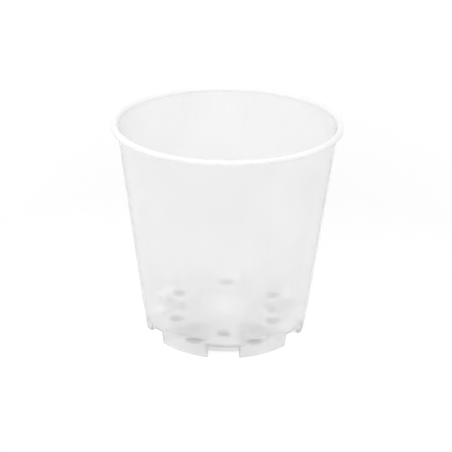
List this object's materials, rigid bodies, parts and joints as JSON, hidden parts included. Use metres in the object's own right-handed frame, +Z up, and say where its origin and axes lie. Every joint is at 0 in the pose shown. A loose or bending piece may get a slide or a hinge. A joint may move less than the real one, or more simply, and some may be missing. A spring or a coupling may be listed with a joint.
{
  "type": "orchid pot with slots",
  "caption": "Clear tapered plastic orchid pot with a rolled lip, hollow feet, drain channels and slots round its base.",
  "frame": {"origin": "centre of the circle that the feet stand on, at the level of their undersides", "axes": "+Z up along the pot's axis; -Y towards the camera, through the middle of a slot; +X to the right"},
  "size_m": [0.12, 0.12, 0.1165],
  "materials": {
    "clear_polypropylene": "clear, slightly milky moulded polypropylene with a soft gloss"
  },
  "bodies": {
    "root": {"rolled_rim": "clear_polypropylene", "side_wall": "clear_polypropylene", "floor_hub": "clear_polypropylene", "drain_channel_1": "clear_polypropylene", "drain_channel_2": "clear_polypropylene", "drain_channel_3": "clear_polypropylene", "drain_channel_4": "clear_polypropylene", "drain_channel_5": "clear_polypropylene", "drain_channel_6": "clear_polypropylene", "foot_1": "clear_polypropylene", "foot_2": "clear_polypropylene", "foot_3": "clear_polypropylene", "foot_4": "clear_polypropylene", "foot_5": "clear_polypropylene", "foot_6": "clear_polypropylene"}
  },
  "joints": []
}
